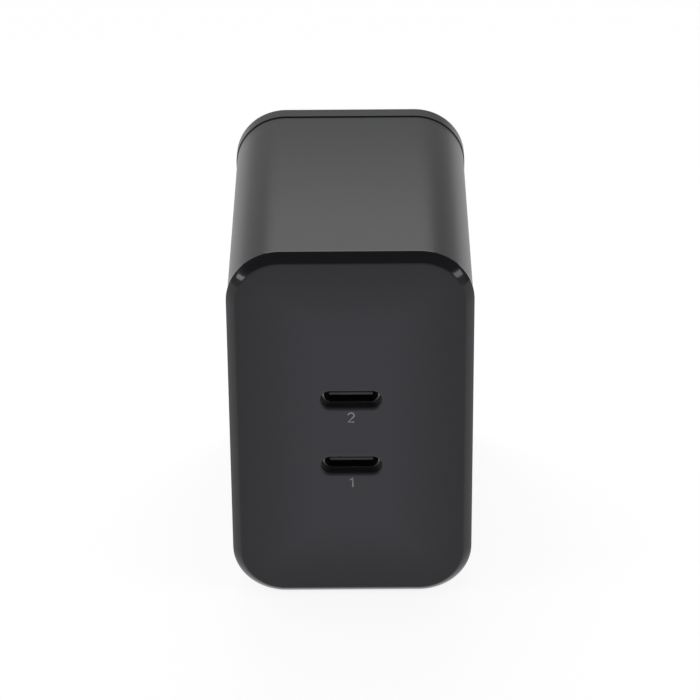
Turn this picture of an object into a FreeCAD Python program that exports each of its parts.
"""Two-port USB wall charger with a folding two-blade plug, in millimetres.

The charger stands on its narrow lower side. X runs across the width, Y runs from the
port face (negative) to the plug face (positive) and Z runs up the long side. The origin
is under the middle of the body, on the surface that it stands on.
"""
import FreeCAD, Part

import math
import os

# ---- Body -----------------------------------------------------------------------------
WIDTH = 37.4
HEIGHT = 60.0
DEPTH = 53.4
CORNER_RADIUS = 8.25
WALL = 1.8
PLATE_THICKNESS = 1.8
CHAMFER_WIDTH = 1.4
CHAMFER_DEPTH = 1.5
TUBE_INSET = 0.15
CAP_BAND = 3.2
CAP_EDGE_RADIUS = 0.8
CAP_BACK = 2.0
GROOVE_WIDTH = 0.35
GROOVE_DEPTH = 0.5
SPIGOT_LENGTH = 2.5
SPIGOT_WALL = 1.4
SPIGOT_GAP = 0.05

# ---- Fits and clearances ---------------------------------------------------------------
RUNNING_GAP = 0.1
JOIN_OVERLAP = 0.1
TOUCH = 1e-6
CONTACT_GAP = 0.05
BOARD_GAP = 0.1

# ---- USB ports -------------------------------------------------------------------------
PORT_1_HEIGHT = 23.7
PORT_PITCH = 11.6
OPENING_WIDTH = 9.2
OPENING_HEIGHT = 2.85
OPENING_LIP_RADIUS = 0.5
SHELL_WIDTH = 8.94
SHELL_HEIGHT = 3.16
SHELL_WALL = 0.3
SHELL_LENGTH = 6.8
SHELL_MOUTH_GAP = 0.1
TONGUE_WIDTH = 6.69
TONGUE_THICKNESS = 0.7
TONGUE_SETBACK = 0.25
TONGUE_BASE = 1.4
CONTACTS_PER_SIDE = 12
CONTACT_PITCH = 0.5
CONTACT_WIDTH = 0.25
CONTACT_THICKNESS = 0.1
CONTACT_SETBACK = 0.6
SHELL_LEG_WIDTH = 0.9

# ---- Folding plug ----------------------------------------------------------------------
PIVOT_DEPTH = 4.2
PIVOT_HEIGHT = 38.5
BLADE_SPACING = 12.7
BLADE_WIDTH = 6.35
BLADE_THICKNESS = 1.52
BLADE_REACH = 16.0
BLADE_TIP_CHAMFER = 1.2
BLADE_HOLE = 3.1
BLADE_HOLE_FROM_TIP = 4.3
BARREL_RADIUS = 4.0
BARREL_CORE_RADIUS = 2.2
BARREL_LENGTH = 18.0
TRUNNION_RADIUS = 1.5
TRUNNION_LENGTH = 1.9
CAM_WIDTH = 5.0
CAM_FLAT = 3.3
STOP_LUG_WIDTH = 1.2
STOP_LUG_RISE = 0.5
POCKET_SIDE_GAP = 0.5
POCKET_TOP_GAP = 0.7
POCKET_TIP_GAP = 1.8
POCKET_FLOOR_GAP = 0.6
POCKET_WALL = 2.0
POCKET_FLOOR = 1.5
POCKET_CORNER = 1.5
POCKET_LIP_RADIUS = 0.5
PAD_LENGTH = 2.0
SPRING_THICKNESS = 0.3
CONTACT_STRIP_WIDTH = 1.6
RETAINER_THICKNESS = 1.6
RETAINER_MARGIN = 1.5
WINDOW_DROP = 2.5
STRIP_DROP = 1.5
SCREW_RADIUS = 1.0
SCREW_HEAD_RADIUS = 1.8
SCREW_HEAD_HEIGHT = 1.2
SCREW_LENGTH = 6.0
SCREW_CLEARANCE = 0.15
BOSS_RADIUS = 2.4
RIB_HEIGHT = 1.5
POST_WIDTH = 1.0
SOLDER_TAIL = 1.0
TAIL_INSET = 0.9
TAIL_STEP = 1.0

# ---- Circuit boards --------------------------------------------------------------------
PORT_BOARD_THICKNESS = 1.0
PORT_BOARD_MARGIN = 2.0
POST_RADIUS = 1.5
POST_INSET = 4.5
MAIN_BOARD_THICKNESS = 1.2
SOLDER_SPACE = 3.2
BOARD_TO_PORT_BOARD = 2.0
RAIL_WIDTH = 1.2
RAIL_HEIGHT = 1.6
PIN_SIDE = 0.64
PIN_PITCH = 2.54
PIN_COUNT = 6
PIN_TAIL = 0.8
LEAD_RADIUS = 0.35

# ---- Parts on the main board -----------------------------------------------------------
STAND_OFF = 0.6
CORE_WIDTH = 18.0
CORE_HEIGHT = 18.0
CORE_DEPTH = 12.5
CORE_LEG_RADIUS = 3.5
CORE_WINDOW_RADIUS = 7.3
CORE_WINDOW_HEIGHT = 12.6
BOBBIN_WALL = 0.7
WINDING_CLEARANCE = 0.25
BULK_RADIUS = 5.0
BULK_LENGTH = 24.0
BULK_PITCH = 5.0
OUTPUT_CAP_RADIUS = 3.15
OUTPUT_CAP_LENGTH = 9.0
OUTPUT_CAP_PITCH = 2.5
CHOKE_RADIUS = 5.5
CHOKE_BORE_RADIUS = 2.9
CHOKE_THICKNESS = 5.0
CHOKE_WIRE_RADIUS = 0.35
CHOKE_TURNS = 7
CHOKE_TURN_ANGLE = 23.0
COIL_RADIUS = 3.2
COIL_LENGTH = 9.0
COIL_PITCH = 3.5
XCAP_WIDTH = 5.6
XCAP_LENGTH = 13.0
XCAP_HEIGHT = 11.0
XCAP_PITCH = 10.0
FUSE_WIDTH = 4.0
FUSE_LENGTH = 8.4
FUSE_HEIGHT = 7.5
FUSE_PITCH = 5.08
BRIDGE_LENGTH = 10.0
BRIDGE_WIDTH = 3.2
BRIDGE_HEIGHT = 7.8
DISC_RADIUS = 3.2
DISC_THICKNESS = 2.4
DISC_PITCH = 3.0
SWITCH_SIDE = 8.0
SWITCH_THICKNESS = 0.85
RECTIFIER_LENGTH = 5.0
RECTIFIER_WIDTH = 4.8
RECTIFIER_THICKNESS = 1.0
CHIP_SIDE = 4.0
CHIP_THICKNESS = 0.9
LONG_CHIP_LENGTH = 4.9
LONG_CHIP_WIDTH = 3.0
CHIP_DROP = 2.6
CHIP_SHIFT = 4.0
INDUCTOR_CORNER = 0.8
INDUCTOR_SIDE = 6.6
INDUCTOR_HEIGHT = 2.6
INDUCTOR_X = 9.0
PIN_RAIL_WIDTH = 2.0
PIN_RAIL_LENGTH = 13.0
BOBBIN_PIN_PITCH = 3.5
PART_GAP = 0.6
SHEET_THICKNESS = 0.8
FILM_THICKNESS = 0.4

# ---- Places that follow from the sizes above -------------------------------------------
FRONT_Y = -DEPTH / 2
REAR_Y = DEPTH / 2
MID_Z = HEIGHT / 2
TUBE_FRONT_Y = FRONT_Y + PLATE_THICKNESS
CAP_BAND_Y = REAR_Y - CAP_BAND
TUBE_REAR_Y = CAP_BAND_Y - GROOVE_WIDTH
CAP_INSIDE_Y = REAR_Y - CAP_BACK
BORE_WIDTH = WIDTH - 2 * (TUBE_INSET + WALL)
BORE_HEIGHT = HEIGHT - 2 * (TUBE_INSET + WALL)
BORE_RADIUS = CORNER_RADIUS - TUBE_INSET - WALL
BORE_BOTTOM = MID_Z - BORE_HEIGHT / 2
BORE_TOP = MID_Z + BORE_HEIGHT / 2

PORT_HEIGHTS = {1: PORT_1_HEIGHT, 2: PORT_1_HEIGHT + PORT_PITCH}
SHELL_MOUTH_Y = TUBE_FRONT_Y + SHELL_MOUTH_GAP
PORT_BOARD_Y = SHELL_MOUTH_Y + SHELL_LENGTH
PORT_BOARD_BACK_Y = PORT_BOARD_Y + PORT_BOARD_THICKNESS

PIVOT_Y = REAR_Y - PIVOT_DEPTH
BLADE_X = BLADE_SPACING / 2
TIP_Z = PIVOT_HEIGHT - PIVOT_DEPTH - BLADE_REACH
POCKET_HALF = BARREL_LENGTH / 2 + POCKET_SIDE_GAP
POCKET_TOP = PIVOT_HEIGHT + BARREL_RADIUS + POCKET_TOP_GAP
POCKET_BOTTOM = TIP_Z - POCKET_TIP_GAP
POCKET_FLOOR_Y = PIVOT_Y - BLADE_WIDTH / 2 - POCKET_FLOOR_GAP
POCKET_BACK_Y = POCKET_FLOOR_Y - POCKET_FLOOR
WINDOW_BOTTOM = PIVOT_HEIGHT - BARREL_RADIUS - WINDOW_DROP
TRUNNION_END = BARREL_LENGTH / 2 + TRUNNION_LENGTH
LEAF_Y = PIVOT_Y - CAM_FLAT - CONTACT_GAP - SPRING_THICKNESS
STRIP_Y = PIVOT_Y - BARREL_RADIUS - CONTACT_GAP - SPRING_THICKNESS
RETAINER_BACK_Y = POCKET_BACK_Y - RETAINER_THICKNESS
RETAINER_HALF = BORE_WIDTH / 2 - SPIGOT_GAP - SPIGOT_WALL - RUNNING_GAP
RETAINER_BOTTOM = WINDOW_BOTTOM - RETAINER_MARGIN
STRIP_FOOT = PIVOT_HEIGHT - BARREL_RADIUS - STRIP_DROP
RETAINER_TOP = POCKET_TOP + RETAINER_MARGIN
SCREW_X = POCKET_HALF + POCKET_WALL + BOSS_RADIUS - 0.8

BOARD_X = -BORE_WIDTH / 2 + SOLDER_SPACE
PARTS_X = BOARD_X + MAIN_BOARD_THICKNESS
BOARD_FRONT_Y = PORT_BOARD_BACK_Y + BOARD_TO_PORT_BOARD
BOARD_REAR_Y = RETAINER_BACK_Y - SCREW_HEAD_HEIGHT - BOARD_GAP
CORNER_REACH = BORE_RADIUS - SOLDER_SPACE
CORNER_RISE = BORE_RADIUS - math.sqrt(BORE_RADIUS ** 2 - CORNER_REACH ** 2)
BOARD_BOTTOM = BORE_BOTTOM + CORNER_RISE + BOARD_GAP
BOARD_TOP = BORE_TOP - CORNER_RISE - BOARD_GAP
SEAT_X = PARTS_X + STAND_OFF
SPREADER_X = BORE_WIDTH / 2 - BOARD_GAP - SHEET_THICKNESS
STRIP_TAILS = {
    -1: (BOARD_REAR_Y - TAIL_INSET - TAIL_STEP, STRIP_FOOT + SPRING_THICKNESS),
    1: (BOARD_REAR_Y - TAIL_INSET, STRIP_FOOT - CONTACT_STRIP_WIDTH),
}
STRAIGHT_BOTTOM = BORE_BOTTOM + BORE_RADIUS
STRAIGHT_TOP = BORE_TOP - BORE_RADIUS

PARTS_FRONT_Y = PORT_BOARD_BACK_Y + INDUCTOR_HEIGHT + PART_GAP / 2
PARTS_BOTTOM = BOARD_BOTTOM + RAIL_HEIGHT + PART_GAP / 2
PARTS_TOP = BOARD_TOP - RAIL_HEIGHT - PART_GAP / 2
BULK_STEP = 2 * BULK_RADIUS + PART_GAP
BULK_Y = PARTS_FRONT_Y + BULK_RADIUS
BULK_Z = PARTS_BOTTOM + BULK_RADIUS
BULK_PLACES = {1: (BULK_Y, BULK_Z), 2: (BULK_Y + BULK_STEP, BULK_Z), 3: (BULK_Y, BULK_Z + BULK_STEP)}
BULK_STACK_TOP = BULK_Z + BULK_STEP + BULK_RADIUS
OUTPUT_CAP_Y = PARTS_FRONT_Y + OUTPUT_CAP_RADIUS
OUTPUT_CAP_Z = BULK_STACK_TOP + PART_GAP + OUTPUT_CAP_RADIUS
OUTPUT_CAP_PLACES = [(OUTPUT_CAP_Y, OUTPUT_CAP_Z),
                     (OUTPUT_CAP_Y + 2 * OUTPUT_CAP_RADIUS + PART_GAP, OUTPUT_CAP_Z)]
OUTPUT_LEAD_TOP = OUTPUT_CAP_Z + OUTPUT_CAP_PITCH / 2 + LEAD_RADIUS
CORE_X = PARTS_X + CORE_WINDOW_RADIUS + 0.35
CORE_Y = PARTS_FRONT_Y + CORE_WIDTH / 2
CORE_Z = PARTS_TOP - CORE_HEIGHT / 2
CHIP_Z = CORE_Z - CORE_HEIGHT / 2 - CHIP_DROP
RECTIFIER_Z = max(CHIP_Z, OUTPUT_LEAD_TOP + BOARD_GAP + RECTIFIER_WIDTH / 2)
BRIDGE_Y = BULK_Y + BULK_RADIUS + PART_GAP
BRIDGE_Z = BULK_Z + BULK_RADIUS + PART_GAP
THERMISTOR_PLACE = (BRIDGE_Y + BRIDGE_LENGTH / 2, BRIDGE_Z + BRIDGE_WIDTH + PART_GAP + DISC_THICKNESS / 2)
COIL_PLACE = (BULK_Y + BULK_STEP + BULK_RADIUS + PART_GAP + COIL_RADIUS, PARTS_BOTTOM + COIL_RADIUS)
FUSE_Y = max(BRIDGE_Y + BRIDGE_LENGTH + 2 * PART_GAP,
             BULK_Y + BULK_STEP + BULK_RADIUS + PART_GAP)
FUSE_Z = COIL_PLACE[1] + COIL_RADIUS + PART_GAP
CHOKE_OUTSIDE = CHOKE_RADIUS + 2 * CHOKE_WIRE_RADIUS + CONTACT_GAP
CHOKE_X = PARTS_X + 2 * CHOKE_WIRE_RADIUS + 2 * CONTACT_GAP
CHOKE_Y = OUTPUT_CAP_PLACES[1][0] + OUTPUT_CAP_RADIUS + PART_GAP / 2 + CHOKE_OUTSIDE
CHOKE_Z = THERMISTOR_PLACE[1] + DISC_THICKNESS / 2 + PART_GAP + CHOKE_OUTSIDE
YCAP_PLACE = (CORE_Y + CORE_WIDTH / 2 + PART_GAP + DISC_THICKNESS / 2, CORE_Z - CORE_HEIGHT / 4)
XCAP_Y = YCAP_PLACE[0] + DISC_THICKNESS / 2 + PART_GAP
XCAP_TOP = PARTS_TOP
LEADS = {}


# ---- Helpers ---------------------------------------------------------------------------
def point(x, y, z):
    return FreeCAD.Vector(x, y, z)


def block(x0, x1, y0, y1, z0, z1):
    """A box between two faces along each axis."""
    return Part.makeBox(x1 - x0, y1 - y0, z1 - z0, point(x0, y0, z0))


def rod_x(x0, x1, radius, y, z):
    return Part.makeCylinder(radius, x1 - x0, point(x0, y, z), point(1, 0, 0))


def rod_y(y0, y1, radius, x, z):
    return Part.makeCylinder(radius, y1 - y0, point(x, y0, z), point(0, 1, 0))


def rod_z(z0, z1, radius, x, y):
    return Part.makeCylinder(radius, z1 - z0, point(x, y, z0), point(0, 0, 1))


def outline(width, height, radius, y, z=MID_Z):
    """A rounded rectangle in the plane Y = y, centred on X = 0 and on the given height."""
    side = width / 2 - radius
    rise = height / 2 - radius
    edges = []
    for turn, (sx, sz) in enumerate([(1, 1), (-1, 1), (-1, -1), (1, -1)]):
        middle = point(sx * side, y, z + sz * rise)
        angles = [math.radians(90 * turn + step) for step in (0, 45, 90)]
        corner = [middle + point(radius * math.cos(a), 0, radius * math.sin(a)) for a in angles]
        if edges and (edges[-1][-1] - corner[0]).Length > TOUCH:
            edges.append([edges[-1][-1], corner[0]])
        edges.append(corner)
    if (edges[-1][-1] - edges[0][0]).Length > TOUCH:
        edges.append([edges[-1][-1], edges[0][0]])
    curves = [Part.Arc(*e) if len(e) == 3 else Part.LineSegment(*e) for e in edges]
    return Part.Wire([curve.toShape() for curve in curves])


def slab(width, height, radius, y0, y1, z=MID_Z):
    """A rounded rectangle extruded along Y."""
    return Part.Face(outline(width, height, radius, y0, z)).extrude(point(0, y1 - y0, 0))


def stadium(width, height, y0, y1, z):
    """A slot with fully round ends, extruded along Y."""
    return slab(width, height, height / 2 - 1e-4, y0, y1, z)


def one_solid(shape):
    """The shape's faces merged where they are flush."""
    return shape.removeSplitter()


# ---- Case ------------------------------------------------------------------------------
def is_lip_edge(edge, z):
    """True for the edges of one port's hole in the front face."""
    box = edge.BoundBox
    in_face = box.YLength < TOUCH and abs(box.YMin - FRONT_Y) < TOUCH
    return in_face and box.XLength < OPENING_WIDTH + 0.1 and abs(box.Center.z - z) < OPENING_HEIGHT


def spigot(y0, y1):
    """The thin-walled ring that locates a cover in the tube's bore."""
    outer = slab(BORE_WIDTH - 2 * SPIGOT_GAP, BORE_HEIGHT - 2 * SPIGOT_GAP,
                 BORE_RADIUS - SPIGOT_GAP, y0, y1)
    inset = SPIGOT_GAP + SPIGOT_WALL
    inner = slab(BORE_WIDTH - 2 * inset, BORE_HEIGHT - 2 * inset, BORE_RADIUS - inset, y0, y1)
    return outer.cut(inner)


def board_posts():
    """Four posts that carry the port board."""
    posts = []
    for side in (-1, 1):
        x = side * (BORE_WIDTH / 2 - POST_INSET)
        for z in (BORE_BOTTOM + POST_INSET, BORE_TOP - POST_INSET):
            posts.append(rod_y(TUBE_FRONT_Y, PORT_BOARD_Y, POST_RADIUS, x, z))
    return posts


def front_plate():
    """The port face: a chamfered plate, a spigot into the tube and four board posts."""
    face = outline(WIDTH - 2 * CHAMFER_WIDTH, HEIGHT - 2 * CHAMFER_WIDTH,
                   CORNER_RADIUS - CHAMFER_WIDTH, FRONT_Y)
    shoulder = outline(WIDTH, HEIGHT, CORNER_RADIUS, FRONT_Y + CHAMFER_DEPTH)
    bevel = Part.makeLoft([face, shoulder], True, True)
    rim = slab(WIDTH, HEIGHT, CORNER_RADIUS, FRONT_Y + CHAMFER_DEPTH, TUBE_FRONT_Y)
    plate = bevel.fuse([rim, spigot(TUBE_FRONT_Y, TUBE_FRONT_Y + SPIGOT_LENGTH)] + board_posts())
    for z in PORT_HEIGHTS.values():
        plate = plate.cut(stadium(OPENING_WIDTH, OPENING_HEIGHT, FRONT_Y, TUBE_FRONT_Y, z))
    plate = one_solid(plate)
    lips = [e for e in plate.Edges if any(is_lip_edge(e, z) for z in PORT_HEIGHTS.values())]
    return plate.makeFillet(OPENING_LIP_RADIUS, lips)


def housing_tube():
    """The long rounded tube, with two pairs of rails that hold the main board's edges."""
    outer = slab(WIDTH - 2 * TUBE_INSET, HEIGHT - 2 * TUBE_INSET, CORNER_RADIUS - TUBE_INSET,
                 TUBE_FRONT_Y, TUBE_REAR_Y)
    bore = slab(BORE_WIDTH, BORE_HEIGHT, BORE_RADIUS, TUBE_FRONT_Y, TUBE_REAR_Y)
    rails = []
    for x in (BOARD_X - BOARD_GAP - RAIL_WIDTH, PARTS_X + BOARD_GAP):
        for z0, z1 in ((BORE_BOTTOM - WALL / 2, BOARD_BOTTOM + RAIL_HEIGHT),
                       (BOARD_TOP - RAIL_HEIGHT, BORE_TOP + WALL / 2)):
            rails.append(block(x, x + RAIL_WIDTH, BOARD_FRONT_Y, BOARD_REAR_Y, z0, z1))
    return one_solid(outer.cut(bore).fuse([rail.common(outer) for rail in rails]))


def plug_pocket():
    """The recess that the folded blades lie in."""
    return slab_y(POCKET_HALF, POCKET_BOTTOM, POCKET_TOP, POCKET_CORNER, POCKET_FLOOR_Y, REAR_Y)


def slab_y(half_width, z0, z1, radius, y0, y1):
    """A rounded rectangle between two heights, extruded along Y."""
    return slab(2 * half_width, z1 - z0, radius, y0, y1, (z0 + z1) / 2)


def is_pocket_rim(edge):
    """True for the edges where the pocket opens in the rear face."""
    box = edge.BoundBox
    in_face = box.YLength < TOUCH and abs(box.YMin - REAR_Y) < TOUCH
    inside = max(abs(box.XMin), abs(box.XMax)) < POCKET_HALF + 1e-3
    return in_face and inside and POCKET_BOTTOM - 1e-3 < box.ZMin and box.ZMax < POCKET_TOP + 1e-3


def screw_places():
    return [point(side * SCREW_X, 0, PIVOT_HEIGHT) for side in (-1, 1)]


def rear_cap():
    """The plug face: band, groove, spigot, and the tub that the plug folds into."""
    band = slab(WIDTH, HEIGHT, CORNER_RADIUS, CAP_BAND_Y, REAR_Y)
    rear_edges = [e for e in band.Edges if abs(e.BoundBox.YMin - REAR_Y) < TOUCH]
    band = band.makeFillet(CAP_EDGE_RADIUS, rear_edges)
    neck = slab(WIDTH - 2 * GROOVE_DEPTH, HEIGHT - 2 * GROOVE_DEPTH,
                CORNER_RADIUS - GROOVE_DEPTH, TUBE_REAR_Y, CAP_BAND_Y)
    inset = SPIGOT_GAP + SPIGOT_WALL
    hollow = slab(BORE_WIDTH - 2 * inset, BORE_HEIGHT - 2 * inset, BORE_RADIUS - inset,
                  TUBE_REAR_Y, CAP_INSIDE_Y)
    shell = band.fuse(neck).cut(hollow).fuse(spigot(TUBE_REAR_Y - SPIGOT_LENGTH, TUBE_REAR_Y))
    tub = slab_y(POCKET_HALF + POCKET_WALL, POCKET_BOTTOM - POCKET_WALL, POCKET_TOP + POCKET_WALL,
                 POCKET_CORNER, POCKET_BACK_Y, CAP_INSIDE_Y)
    bosses = [rod_y(POCKET_BACK_Y, CAP_INSIDE_Y, BOSS_RADIUS, p.x, p.z) for p in screw_places()]
    cap = one_solid(shell.fuse([tub] + bosses).cut(plug_pocket()))
    cap = cap.makeFillet(POCKET_LIP_RADIUS, [e for e in cap.Edges if is_pocket_rim(e)])
    window = block(-POCKET_HALF, POCKET_HALF, POCKET_BACK_Y, POCKET_FLOOR_Y,
                   WINDOW_BOTTOM, POCKET_TOP)
    slots = [trunnion_slot(side) for side in (-1, 1)]
    holes = [rod_y(POCKET_BACK_Y, POCKET_BACK_Y + SCREW_LENGTH, SCREW_RADIUS, p.x, p.z)
             for p in screw_places()]
    return one_solid(cap.cut([window] + slots + holes).fuse(blade_pads()))


def trunnion_slot(side):
    """The slot, open to the inside, that one trunnion turns in."""
    half = TRUNNION_RADIUS + RUNNING_GAP
    x0, x1 = sorted((side * (POCKET_HALF - JOIN_OVERLAP), side * (TRUNNION_END + RUNNING_GAP)))
    throat = block(x0, x1, POCKET_BACK_Y, PIVOT_Y, PIVOT_HEIGHT - half, PIVOT_HEIGHT + half)
    return throat.fuse(rod_x(x0, x1, half, PIVOT_Y, PIVOT_HEIGHT))


def blade_pads():
    """Two low pads on the pocket floor that the folded blades stop against."""
    top = PIVOT_Y - BLADE_WIDTH / 2 - CONTACT_GAP
    z0 = TIP_Z + BLADE_TIP_CHAMFER
    pads = []
    for side in (-1, 1):
        x = side * BLADE_X
        half = BLADE_THICKNESS / 2
        pads.append(block(x - half, x + half, POCKET_FLOOR_Y - 0.2, top, z0, z0 + PAD_LENGTH))
    return pads


# ---- Folding plug ----------------------------------------------------------------------
def blade(side):
    """One flat contact blade: a round root disc on the pivot and a tongue that points down."""
    x0 = side * BLADE_X - BLADE_THICKNESS / 2
    x1 = x0 + BLADE_THICKNESS
    half = BLADE_WIDTH / 2
    disc = rod_x(x0, x1, BARREL_RADIUS, PIVOT_Y, PIVOT_HEIGHT)
    cut = BLADE_TIP_CHAMFER
    profile = [(-half, PIVOT_HEIGHT), (-half, TIP_Z + cut), (-half + cut, TIP_Z),
               (half - cut, TIP_Z), (half, TIP_Z + cut), (half, PIVOT_HEIGHT)]
    corners = [point(x0, PIVOT_Y + y, z) for y, z in profile]
    tongue = Part.Face(Part.makePolygon(corners + corners[:1])).extrude(point(x1 - x0, 0, 0))
    tip = [e for e in tongue.Edges if e.BoundBox.ZMax < TIP_Z + TOUCH and e.BoundBox.YLength > 1]
    tongue = tongue.makeChamfer(BLADE_THICKNESS / 4, tip)
    eye = rod_x(x0, x1, BLADE_HOLE / 2, PIVOT_Y, TIP_Z + BLADE_HOLE_FROM_TIP)
    core = rod_x(x0, x1, BARREL_CORE_RADIUS, PIVOT_Y, PIVOT_HEIGHT)
    return one_solid(disc.fuse(tongue)).cut([eye, core])


def plug_carrier():
    """The insulating barrel moulded through both blades, with its trunnions and cam."""
    end = BARREL_LENGTH / 2
    barrel = rod_x(-end, end, BARREL_RADIUS, PIVOT_Y, PIVOT_HEIGHT)
    for side in (-1, 1):
        x = side * BLADE_X
        half = BLADE_THICKNESS / 2
        root = rod_x(x - half, x + half, BARREL_RADIUS + 1, PIVOT_Y, PIVOT_HEIGHT)
        core = rod_x(x - half, x + half, BARREL_CORE_RADIUS, PIVOT_Y, PIVOT_HEIGHT)
        barrel = barrel.cut(root.cut(core))
    reach = 2 * BARREL_RADIUS
    half = CAM_WIDTH / 2
    folded_flat = block(-half, half, PIVOT_Y - reach, PIVOT_Y - CAM_FLAT,
                        PIVOT_HEIGHT - reach, PIVOT_HEIGHT + reach)
    open_flat = block(-half, half, PIVOT_Y - reach, PIVOT_Y + reach,
                      PIVOT_HEIGHT + CAM_FLAT, PIVOT_HEIGHT + reach)
    lugs = [stop_lug(side) for side in (-1, 1)]
    pin = rod_x(-TRUNNION_END, TRUNNION_END, TRUNNION_RADIUS, PIVOT_Y, PIVOT_HEIGHT)
    return one_solid(barrel.cut([folded_flat, open_flat]).fuse(lugs + [pin]))


def stop_range(side):
    """Where the stop on one end of the barrel lies along X."""
    inner = BLADE_X + BLADE_THICKNESS / 2 + 0.2
    outer = BARREL_LENGTH / 2 - 0.2
    return sorted((side * inner, side * outer))


def stop_lug(side):
    """The lug that meets the retainer when the blades are fully out."""
    x0, x1 = stop_range(side)
    half = STOP_LUG_WIDTH / 2
    return block(x0, x1, PIVOT_Y - half, PIVOT_Y + half, PIVOT_HEIGHT + BARREL_RADIUS - 1,
                 PIVOT_HEIGHT + BARREL_RADIUS + STOP_LUG_RISE)


def plug_retainer():
    """The inner bridge that closes the trunnion slots and holds the springs."""
    plate = block(-RETAINER_HALF, RETAINER_HALF, RETAINER_BACK_Y, POCKET_BACK_Y,
                  RETAINER_BOTTOM, RETAINER_TOP)
    pieces = []
    for side in (-1, 1):
        x0, x1 = sorted((side * (POCKET_HALF + RUNNING_GAP), side * TRUNNION_END))
        pieces.append(block(x0, x1, POCKET_BACK_Y - JOIN_OVERLAP, PIVOT_Y - TRUNNION_RADIUS - RUNNING_GAP,
                            PIVOT_HEIGHT - TRUNNION_RADIUS, PIVOT_HEIGHT + TRUNNION_RADIUS))
        pieces.append(stop_rib(side))
    half = CAM_WIDTH / 2
    for z in leaf_post_heights():
        pieces.append(block(-half, half, POCKET_BACK_Y - JOIN_OVERLAP, LEAF_Y, z, z + POST_WIDTH))
    slots = [strip_slot(side) for side in (-1, 1)]
    holes = [rod_y(RETAINER_BACK_Y, POCKET_BACK_Y, SCREW_RADIUS + SCREW_CLEARANCE, p.x, p.z)
             for p in screw_places()]
    return one_solid(plate.fuse(pieces).cut(slots + holes))


def stop_rib(side):
    """The rib that the barrel's lug lands on, just clear of the barrel itself."""
    x0, x1 = stop_range(side)
    top = PIVOT_HEIGHT - STOP_LUG_WIDTH / 2 - CONTACT_GAP
    return block(x0, x1, POCKET_BACK_Y - JOIN_OVERLAP, PIVOT_Y - BARREL_RADIUS - RUNNING_GAP,
                 top - RIB_HEIGHT, top)


def leaf_post_heights():
    """The lower edges of the two posts behind the detent spring."""
    return WINDOW_BOTTOM + RUNNING_GAP, POCKET_TOP - RUNNING_GAP - POST_WIDTH


def detent_spring():
    """The steel leaf that snaps onto the cam's flats."""
    low, high = leaf_post_heights()
    half = CAM_WIDTH / 2 - RUNNING_GAP
    return block(-half, half, LEAF_Y, LEAF_Y + SPRING_THICKNESS, low, high + POST_WIDTH)


def strip_slot(side):
    """The slot in the retainer that one contact strip passes through."""
    half = CONTACT_STRIP_WIDTH / 2
    x = side * BLADE_X
    return block(x - half, x + half, RETAINER_BACK_Y, POCKET_BACK_Y,
                 STRIP_FOOT, STRIP_FOOT + SPRING_THICKNESS)


def contact_spring(side):
    """A bent strip: it rides on a blade's disc at one end and is soldered at the other."""
    half = CONTACT_STRIP_WIDTH / 2
    x = side * BLADE_X
    tail_y, tail_top = STRIP_TAILS[side]
    tail_bottom = tail_top - CONTACT_STRIP_WIDTH
    thick = SPRING_THICKNESS
    leaf = block(x - half, x + half, STRIP_Y, STRIP_Y + thick, STRIP_FOOT,
                 PIVOT_HEIGHT + BARREL_RADIUS / 2)
    foot = block(x - half, x + half, tail_y, STRIP_Y + thick, STRIP_FOOT, STRIP_FOOT + thick)
    drop = block(x - half, x + half, tail_y, tail_y + thick, tail_bottom, STRIP_FOOT + thick)
    tail = block(BOARD_X - SOLDER_TAIL, x + half, tail_y, tail_y + thick, tail_bottom, tail_top)
    return one_solid(leaf.fuse([foot, drop, tail]))


def retainer_screws():
    """Two self-tapping screws with round heads and cross recesses."""
    return Part.makeCompound([retainer_screw(place) for place in screw_places()])


def retainer_screw(place):
    under_head = RETAINER_BACK_Y
    head = rod_y(under_head - SCREW_HEAD_HEIGHT, under_head, SCREW_HEAD_RADIUS, place.x, place.z)
    rim = [e for e in head.Edges if abs(e.BoundBox.YMax - under_head + SCREW_HEAD_HEIGHT) < TOUCH]
    head = head.makeFillet(SCREW_HEAD_HEIGHT * 0.6, rim)
    shank = rod_y(under_head, POCKET_BACK_Y + SCREW_LENGTH - 1, SCREW_RADIUS, place.x, place.z)
    long, short = SCREW_HEAD_RADIUS * 0.6, SCREW_HEAD_RADIUS * 0.14
    cross = []
    for reach_x, reach_z in ((long, short), (short, long)):
        cross.append(block(place.x - reach_x, place.x + reach_x,
                           under_head - SCREW_HEAD_HEIGHT, under_head - SCREW_HEAD_HEIGHT / 2,
                           place.z - reach_z, place.z + reach_z))
    return head.fuse(shank).cut(cross)


# ---- Ports -----------------------------------------------------------------------------
def port_board():
    """The upright board behind the ports."""
    margin = PORT_BOARD_MARGIN
    board = slab(BORE_WIDTH - margin, BORE_HEIGHT - margin, BORE_RADIUS - margin / 2,
                 PORT_BOARD_Y, PORT_BOARD_BACK_Y)
    legs = [leg for z in PORT_HEIGHTS.values() for leg in shell_legs(z, BOARD_GAP)]
    pins = [pin.common(board) for pin in pin_bodies(BOARD_GAP)]
    return board.cut(legs + pins)


def shell_legs(z, gap):
    """The shell's four solder legs, or the slots for them when a gap is given."""
    legs = []
    for side in (-1, 1):
        x0, x1 = sorted((side * (SHELL_WIDTH / 2 + gap),
                         side * (SHELL_WIDTH / 2 - SHELL_WALL - gap)))
        half = SHELL_LEG_WIDTH / 2 + gap
        legs.append(block(x0, x1, PORT_BOARD_Y - 0.2, PORT_BOARD_BACK_Y + 0.4,
                          z - half, z + half))
    return legs


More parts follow.
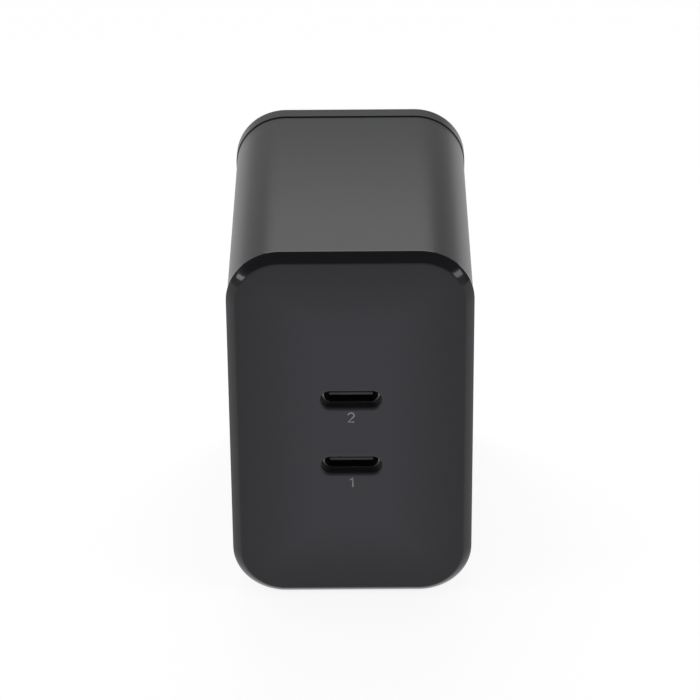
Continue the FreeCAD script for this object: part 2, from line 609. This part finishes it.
def port_shell(z):
    """The drawn steel shell of one receptacle."""
    outer = stadium(SHELL_WIDTH, SHELL_HEIGHT, SHELL_MOUTH_Y, PORT_BOARD_Y, z)
    inner = stadium(SHELL_WIDTH - 2 * SHELL_WALL, SHELL_HEIGHT - 2 * SHELL_WALL,
                    SHELL_MOUTH_Y, PORT_BOARD_Y, z)
    return one_solid(outer.cut(inner).fuse(shell_legs(z, 0)))


def port_tongue(z):
    """The moulded tongue and the base that closes the back of the shell."""
    base = stadium(SHELL_WIDTH - 2 * SHELL_WALL, SHELL_HEIGHT - 2 * SHELL_WALL,
                   PORT_BOARD_Y - TONGUE_BASE, PORT_BOARD_Y, z)
    half = TONGUE_WIDTH / 2
    tongue = block(-half, half, SHELL_MOUTH_Y + TONGUE_SETBACK, PORT_BOARD_Y - TONGUE_BASE,
                   z - TONGUE_THICKNESS / 2, z + TONGUE_THICKNESS / 2)
    nose = [e for e in tongue.Edges
            if e.BoundBox.YMax < SHELL_MOUTH_Y + TONGUE_SETBACK + TOUCH and e.BoundBox.XLength > 1]
    tongue = tongue.makeChamfer(TONGUE_THICKNESS / 4, nose)
    return one_solid(base.fuse(tongue).cut(contact_strips(z)))


def contact_strips(z):
    """The rows of contacts on both faces of one tongue."""
    strips = []
    for row in (-1, 1):
        z0, z1 = sorted((z + row * TONGUE_THICKNESS / 2,
                         z + row * (TONGUE_THICKNESS / 2 - CONTACT_THICKNESS)))
        for number in range(CONTACTS_PER_SIDE):
            x = (number - (CONTACTS_PER_SIDE - 1) / 2) * CONTACT_PITCH
            strips.append(block(x - CONTACT_WIDTH / 2, x + CONTACT_WIDTH / 2,
                                SHELL_MOUTH_Y + TONGUE_SETBACK + CONTACT_SETBACK, PORT_BOARD_Y,
                                z0, z1))
    return strips


def port_contacts(z):
    return Part.makeCompound(contact_strips(z))


# ---- Boards and their link -------------------------------------------------------------
def pin_bodies(gap):
    """The pins that join the two boards, or the holes for them when a gap is given."""
    pins = []
    for number in range(PIN_COUNT):
        z = MID_Z + (number - (PIN_COUNT - 1) / 2) * PIN_PITCH
        pins.append(block(PARTS_X - gap, PARTS_X + PIN_SIDE + gap,
                          PORT_BOARD_Y - PIN_TAIL, BOARD_FRONT_Y + PIN_TAIL,
                          z - PIN_SIDE / 2 - gap, z + PIN_SIDE / 2 + gap))
    return pins


def board_link_pins():
    return Part.makeCompound(pin_bodies(0))


def board_link_header():
    """The moulded strip that spaces the two boards apart."""
    half = PIN_COUNT * PIN_PITCH / 2
    middle = PARTS_X + PIN_SIDE / 2
    strip = block(middle - PIN_PITCH / 2, middle + PIN_PITCH / 2,
                  PORT_BOARD_BACK_Y, BOARD_FRONT_Y, MID_Z - half, MID_Z + half)
    return strip.cut(pin_bodies(0))


def main_board():
    """The board that stands in the tube's rails, with a hole for every lead."""
    board = block(BOARD_X, PARTS_X, BOARD_FRONT_Y, BOARD_REAR_Y, BOARD_BOTTOM, BOARD_TOP)
    holes = [lead for places in LEADS.values() for lead in lead_rods(places)]
    for tail_y, tail_top in STRIP_TAILS.values():
        holes.append(block(BOARD_X, PARTS_X, tail_y - BOARD_GAP,
                           tail_y + SPRING_THICKNESS + BOARD_GAP,
                           tail_top - CONTACT_STRIP_WIDTH - BOARD_GAP, tail_top + BOARD_GAP))
    return board.cut(holes)


def lead_rods(places):
    """Round leads from just behind the board up to the seat of the part that they belong to."""
    return [rod_x(BOARD_X - SOLDER_TAIL, SEAT_X + JOIN_OVERLAP, LEAD_RADIUS, y, z) for y, z in places]


def upright_pair(y, z, pitch):
    """Two lead places, one above the other."""
    return [(y, z - pitch / 2), (y, z + pitch / 2)]


def level_pair(y, z, pitch):
    """Two lead places, side by side."""
    return [(y - pitch / 2, z), (y + pitch / 2, z)]


def all_leads():
    """Where each part's leads pass through the main board."""
    leads = {
        "output_capacitors": [place for y, z in OUTPUT_CAP_PLACES
                              for place in upright_pair(y, z, OUTPUT_CAP_PITCH)],
        "input_filter_coil": upright_pair(*COIL_PLACE, COIL_PITCH),
        "x_capacitor": upright_pair(XCAP_Y + XCAP_WIDTH / 2, XCAP_TOP - XCAP_LENGTH / 2, XCAP_PITCH),
        "fuse": upright_pair(FUSE_Y + FUSE_WIDTH / 2, FUSE_Z + FUSE_LENGTH / 2, FUSE_PITCH),
        "thermistor": level_pair(*THERMISTOR_PLACE, DISC_PITCH),
        "y_capacitor": upright_pair(*YCAP_PLACE, DISC_PITCH),
        "bridge_rectifier": [],
        "transformer_bobbin": [],
    }
    for number, (y, z) in BULK_PLACES.items():
        leads["bulk_capacitor_%d" % number] = upright_pair(y, z, BULK_PITCH)
    for step in (-1.5, -0.5, 0.5, 1.5):
        bridge_y = BRIDGE_Y + BRIDGE_LENGTH / 2 + step * PIN_PITCH
        leads["bridge_rectifier"].append((bridge_y, BRIDGE_Z + BRIDGE_WIDTH / 2))
        pin_z = CORE_WINDOW_HEIGHT / 2 - WINDING_CLEARANCE - PIN_RAIL_WIDTH / 2
        pin_y = CORE_Y + step * BOBBIN_PIN_PITCH
        leads["transformer_bobbin"] += [(pin_y, CORE_Z - pin_z), (pin_y, CORE_Z + pin_z)]
    return leads


# ---- Parts on the main board -----------------------------------------------------------
def can(y, z, radius, length):
    """A capacitor can that stands on the board, with a rolled groove near its seat."""
    body = rod_x(SEAT_X, SEAT_X + length, radius, y, z)
    rims = [e for e in body.Edges if abs(e.BoundBox.XLength) < TOUCH]
    body = body.makeFillet(radius * 0.12, rims)
    groove = Part.makeTorus(radius + 0.25, 0.5, point(SEAT_X + radius * 0.45, y, z), point(1, 0, 0))
    return body.cut(groove)


def bulk_capacitor(number):
    """One of the mains-side electrolytic cans."""
    y, z = BULK_PLACES[number]
    leads = lead_rods(LEADS["bulk_capacitor_%d" % number])
    return one_solid(can(y, z, BULK_RADIUS, BULK_LENGTH).fuse(leads))


def output_capacitors():
    """The two polymer cans on the low-voltage side."""
    cans = []
    for number, (y, z) in enumerate(OUTPUT_CAP_PLACES):
        leads = lead_rods(LEADS["output_capacitors"][2 * number:2 * number + 2])
        cans.append(one_solid(can(y, z, OUTPUT_CAP_RADIUS, OUTPUT_CAP_LENGTH).fuse(leads)))
    return Part.makeCompound(cans)


def transformer_core():
    """Two ferrite halves that meet around the centre leg."""
    x = CORE_X
    half_depth, half_width, half_height = CORE_DEPTH / 2, CORE_WIDTH / 2, CORE_HEIGHT / 2
    window_z = CORE_WINDOW_HEIGHT / 2
    body = block(x - half_depth, x + half_depth, CORE_Y - half_width, CORE_Y + half_width,
                 CORE_Z - half_height, CORE_Z + half_height)
    window = rod_z(CORE_Z - window_z, CORE_Z + window_z, CORE_WINDOW_RADIUS, x, CORE_Y)
    leg = rod_z(CORE_Z - window_z, CORE_Z + window_z, CORE_LEG_RADIUS, x, CORE_Y)
    body = body.cut(window.cut(leg))
    big = 2 * CORE_HEIGHT
    upper = block(x - big, x + big, CORE_Y - big, CORE_Y + big, CORE_Z, CORE_Z + big)
    return Part.makeCompound([body.common(upper), body.cut(upper)])


def transformer_bobbin():
    """The moulded former: a tube on the centre leg, two flanges and two pin rails."""
    half = CORE_WINDOW_HEIGHT / 2 - WINDING_CLEARANCE
    inner = CORE_LEG_RADIUS + BOARD_GAP
    flange_radius = CORE_WINDOW_RADIUS - WINDING_CLEARANCE
    tube = rod_z(CORE_Z - half, CORE_Z + half, inner + BOBBIN_WALL, CORE_X, CORE_Y)
    pieces = []
    for end in (-1, 1):
        z0, z1 = sorted((CORE_Z + end * half, CORE_Z + end * (half - BOBBIN_WALL)))
        pieces.append(rod_z(z0, z1, flange_radius, CORE_X, CORE_Y))
        z0, z1 = sorted((CORE_Z + end * half, CORE_Z + end * (half - PIN_RAIL_WIDTH)))
        pieces.append(block(PARTS_X, CORE_X - flange_radius + 0.3, CORE_Y - PIN_RAIL_LENGTH / 2,
                            CORE_Y + PIN_RAIL_LENGTH / 2, z0, z1))
    bore = rod_z(CORE_Z - half, CORE_Z + half, inner, CORE_X, CORE_Y)
    pins = [rod_x(BOARD_X - SOLDER_TAIL, PARTS_X + 0.2, LEAD_RADIUS, y, z)
            for y, z in LEADS["transformer_bobbin"]]
    winding_space = transformer_winding_ring(WINDING_CLEARANCE / 2)
    return one_solid(tube.fuse(pieces + pins).cut(bore)).cut(winding_space)


def transformer_winding_ring(gap):
    half = CORE_WINDOW_HEIGHT / 2 - WINDING_CLEARANCE - BOBBIN_WALL
    inner = CORE_LEG_RADIUS + BOARD_GAP + BOBBIN_WALL
    outer = CORE_WINDOW_RADIUS - 2 * WINDING_CLEARANCE + gap
    ring = rod_z(CORE_Z - half, CORE_Z + half, outer, CORE_X, CORE_Y)
    return ring.cut(rod_z(CORE_Z - half, CORE_Z + half, inner, CORE_X, CORE_Y))


def transformer_winding():
    """The taped winding."""
    return transformer_winding_ring(0)


def choke_core():
    """The ferrite ring, lying flat on its winding."""
    ring = rod_x(CHOKE_X, CHOKE_X + CHOKE_THICKNESS, CHOKE_RADIUS, CHOKE_Y, CHOKE_Z)
    return ring.cut(rod_x(CHOKE_X, CHOKE_X + CHOKE_THICKNESS, CHOKE_BORE_RADIUS, CHOKE_Y, CHOKE_Z))


def choke_winding():
    """Two coils of round wire, one on each half of the ring."""
    turns = []
    for side in (0, 180):
        for number in range(CHOKE_TURNS):
            angle = side + (number - (CHOKE_TURNS - 1) / 2) * CHOKE_TURN_ANGLE
            turns.append(choke_turn(angle))
    return Part.makeCompound(turns)


def choke_turn(angle):
    """One closed turn of wire around the ring's section."""
    offset = CHOKE_WIRE_RADIUS + CONTACT_GAP
    middle = (CHOKE_RADIUS + CHOKE_BORE_RADIUS) / 2
    path = outline(CHOKE_THICKNESS + 2 * offset, CHOKE_RADIUS - CHOKE_BORE_RADIUS + 2 * offset,
                   offset, 0, middle)
    start = path.Edges[0].Vertexes[0].Point
    normal = path.Edges[0].tangentAt(path.Edges[0].FirstParameter)
    section = Part.Wire([Part.makeCircle(CHOKE_WIRE_RADIUS, start, normal)])
    turn = path.makePipeShell([section], True, True)
    turn.rotate(point(0, 0, 0), point(1, 0, 0), angle)
    turn.translate(point(CHOKE_X + CHOKE_THICKNESS / 2, CHOKE_Y, CHOKE_Z))
    return turn


def input_filter_coil():
    """A drum coil between two flanges."""
    y, z = COIL_PLACE
    neck = rod_x(SEAT_X, SEAT_X + COIL_LENGTH, COIL_RADIUS - 0.6, y, z)
    flanges = [rod_x(x, x + 1.2, COIL_RADIUS, y, z) for x in (SEAT_X, SEAT_X + COIL_LENGTH - 1.2)]
    return one_solid(neck.fuse(flanges + lead_rods(LEADS["input_filter_coil"])))


def boxed_part(name, y0, y1, z0, z1, height, radius):
    """A part in a moulded box, with rounded corners, on its own leads."""
    body = block(SEAT_X, SEAT_X + height, y0, y1, z0, z1)
    body = body.makeFillet(radius, body.Edges)
    return one_solid(body.fuse(lead_rods(LEADS[name])))


def x_capacitor():
    """The boxed film capacitor across the mains."""
    return boxed_part("x_capacitor", XCAP_Y, XCAP_Y + XCAP_WIDTH, XCAP_TOP - XCAP_LENGTH,
                      XCAP_TOP, XCAP_HEIGHT, 0.4)


def fuse():
    """The boxed fuse in the live line."""
    return boxed_part("fuse", FUSE_Y, FUSE_Y + FUSE_WIDTH, FUSE_Z, FUSE_Z + FUSE_LENGTH,
                      FUSE_HEIGHT, 0.4)


def bridge_rectifier():
    """The four-lead bridge, standing on edge."""
    return boxed_part("bridge_rectifier", BRIDGE_Y, BRIDGE_Y + BRIDGE_LENGTH, BRIDGE_Z,
                      BRIDGE_Z + BRIDGE_WIDTH, BRIDGE_HEIGHT, 0.3)


def y_capacitor():
    """The disc capacitor that bridges the two sides."""
    y, z = YCAP_PLACE
    disc = rod_y(y - DISC_THICKNESS / 2, y + DISC_THICKNESS / 2, DISC_RADIUS,
                 SEAT_X + DISC_RADIUS, z)
    disc = disc.makeFillet(DISC_THICKNESS * 0.35, disc.Edges[:1] + disc.Edges[2:3])
    return disc_on_leads(disc, "y_capacitor")


def thermistor():
    """The disc that limits the inrush current."""
    y, z = THERMISTOR_PLACE
    disc = rod_z(z - DISC_THICKNESS / 2, z + DISC_THICKNESS / 2, DISC_RADIUS,
                 SEAT_X + DISC_RADIUS, y)
    disc = disc.makeFillet(DISC_THICKNESS * 0.35, disc.Edges[:1] + disc.Edges[2:3])
    return disc_on_leads(disc, "thermistor")


def disc_on_leads(disc, name):
    """A dipped disc whose leads reach up into it."""
    leads = [rod_x(BOARD_X - SOLDER_TAIL, SEAT_X + DISC_RADIUS, LEAD_RADIUS, y, z)
             for y, z in LEADS[name]]
    return one_solid(disc.fuse(leads))


# ---- Surface-mounted parts, cooling and insulation --------------------------------------
def chip_behind(y, z, length, rise, thickness):
    """A flat package on the solder side of the main board."""
    return block(BOARD_X - thickness, BOARD_X, y - length / 2, y + length / 2,
                 z - rise / 2, z + rise / 2)


def power_switch():
    """The mains-side switching transistor, behind the transformer."""
    return chip_behind(CORE_Y, CORE_Z, SWITCH_SIDE, SWITCH_SIDE, SWITCH_THICKNESS)


def sync_rectifier():
    """The low-voltage rectifier transistor."""
    return chip_behind(OUTPUT_CAP_Y, RECTIFIER_Z, RECTIFIER_LENGTH, RECTIFIER_WIDTH, RECTIFIER_THICKNESS)


def controller_chips():
    """Two controllers behind the main board and one behind each port."""
    half = CHIP_SIDE / 2
    chips = [
        chip_behind(BULK_Y, BULK_Z + BULK_STEP / 2, LONG_CHIP_LENGTH, LONG_CHIP_WIDTH, CHIP_THICKNESS),
        chip_behind(CORE_Y + CHIP_SHIFT, CHIP_Z, CHIP_SIDE, CHIP_SIDE, CHIP_THICKNESS),
    ]
    for z in PORT_HEIGHTS.values():
        chips.append(block(-half, half, PORT_BOARD_BACK_Y, PORT_BOARD_BACK_Y + CHIP_THICKNESS,
                           z - half, z + half))
    return Part.makeCompound(chips)


def buck_inductor(z):
    """The moulded inductor of one port's converter."""
    half = INDUCTOR_SIDE / 2
    body = block(INDUCTOR_X - half, INDUCTOR_X + half, PORT_BOARD_BACK_Y,
                 PORT_BOARD_BACK_Y + INDUCTOR_HEIGHT, z - half, z + half)
    upright = [e for e in body.Edges if e.BoundBox.YLength > 1]
    return body.makeChamfer(INDUCTOR_CORNER, upright)


def thermal_pad():
    """The soft pad that carries the switch's heat to the wall."""
    half = SWITCH_SIDE / 2 + 0.4
    return block(-BORE_WIDTH / 2 + BOARD_GAP, BOARD_X - SWITCH_THICKNESS,
                 CORE_Y - half, CORE_Y + half, CORE_Z - half, CORE_Z + half)


def side_sheet(x0, x1, margin):
    """A flat sheet along the wall that faces the parts."""
    return block(x0, x1, BOARD_FRONT_Y + margin, BOARD_REAR_Y - margin,
                 STRAIGHT_BOTTOM + margin, STRAIGHT_TOP - margin)


def heat_spreader():
    """The aluminium sheet that evens out the case's temperature."""
    return side_sheet(SPREADER_X, SPREADER_X + SHEET_THICKNESS, 1.0)


def insulation_film():
    """The film between the spreader and the live parts."""
    return side_sheet(SPREADER_X - FILM_THICKNESS, SPREADER_X, 0.0)


# ---- Every piece, by node name ---------------------------------------------------------
def all_pieces():
    pieces = {
        "front_plate": front_plate(),
        "housing_tube": housing_tube(),
        "rear_cap": rear_cap(),
        "plug_carrier": plug_carrier(),
        "blade_left": blade(-1),
        "blade_right": blade(1),
        "contact_spring_left": contact_spring(-1),
        "contact_spring_right": contact_spring(1),
        "detent_spring": detent_spring(),
        "plug_retainer": plug_retainer(),
        "retainer_screws": retainer_screws(),
        "port_board": port_board(),
        "main_board": main_board(),
        "board_link_header": board_link_header(),
        "board_link_pins": board_link_pins(),
        "transformer_core": transformer_core(),
        "transformer_bobbin": transformer_bobbin(),
        "transformer_winding": transformer_winding(),
        "output_capacitors": output_capacitors(),
        "choke_core": choke_core(),
        "choke_winding": choke_winding(),
        "input_filter_coil": input_filter_coil(),
        "x_capacitor": x_capacitor(),
        "y_capacitor": y_capacitor(),
        "fuse": fuse(),
        "bridge_rectifier": bridge_rectifier(),
        "thermistor": thermistor(),
        "power_switch": power_switch(),
        "sync_rectifier": sync_rectifier(),
        "controller_chips": controller_chips(),
        "thermal_pad": thermal_pad(),
        "heat_spreader": heat_spreader(),
        "insulation_film": insulation_film(),
    }
    for number, z in PORT_HEIGHTS.items():
        pieces["port_%d_shell" % number] = port_shell(z)
        pieces["port_%d_tongue" % number] = port_tongue(z)
        pieces["port_%d_contacts" % number] = port_contacts(z)
        pieces["buck_inductor_%d" % number] = buck_inductor(z)
    for number in BULK_PLACES:
        pieces["bulk_capacitor_%d" % number] = bulk_capacitor(number)
    return pieces


LEADS.update(all_leads())
os.makedirs("parts", exist_ok=True)
for name, shape in all_pieces().items():
    shape.exportStep("parts/%s.step" % name)
    volume = shape.Volume
    print("%-24s %2d solid(s) %9.2f mm3 %s" % (name, len(shape.Solids), volume, shape.isValid()))
